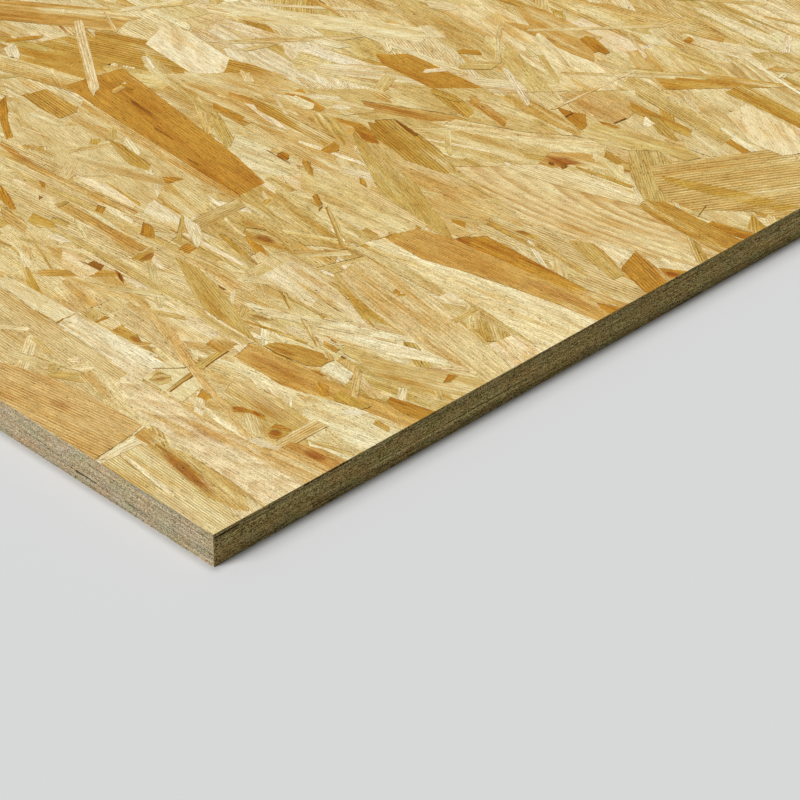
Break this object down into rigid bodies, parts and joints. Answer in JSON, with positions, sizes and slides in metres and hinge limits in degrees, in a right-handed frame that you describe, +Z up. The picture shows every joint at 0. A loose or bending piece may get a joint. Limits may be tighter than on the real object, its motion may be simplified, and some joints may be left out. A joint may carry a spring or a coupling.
{
  "type": "oriented strand board panel",
  "caption": "Full flat sheet of oriented strand board with square sawn edges and pressed wood strands showing on both faces.",
  "frame": {"origin": "middle of the underside, on the surface that the sheet lies on", "axes": "+X along the sheet's length and its main strand direction, +Y across its width, +Z up through its thickness"},
  "size_m": [2.44, 1.22, 0.018],
  "materials": {
    "strand_board": "pressed wood strands in resin, satin faces and matt sawn edges"
  },
  "bodies": {
    "root": {"osb_panel": "strand_board"}
  },
  "joints": []
}
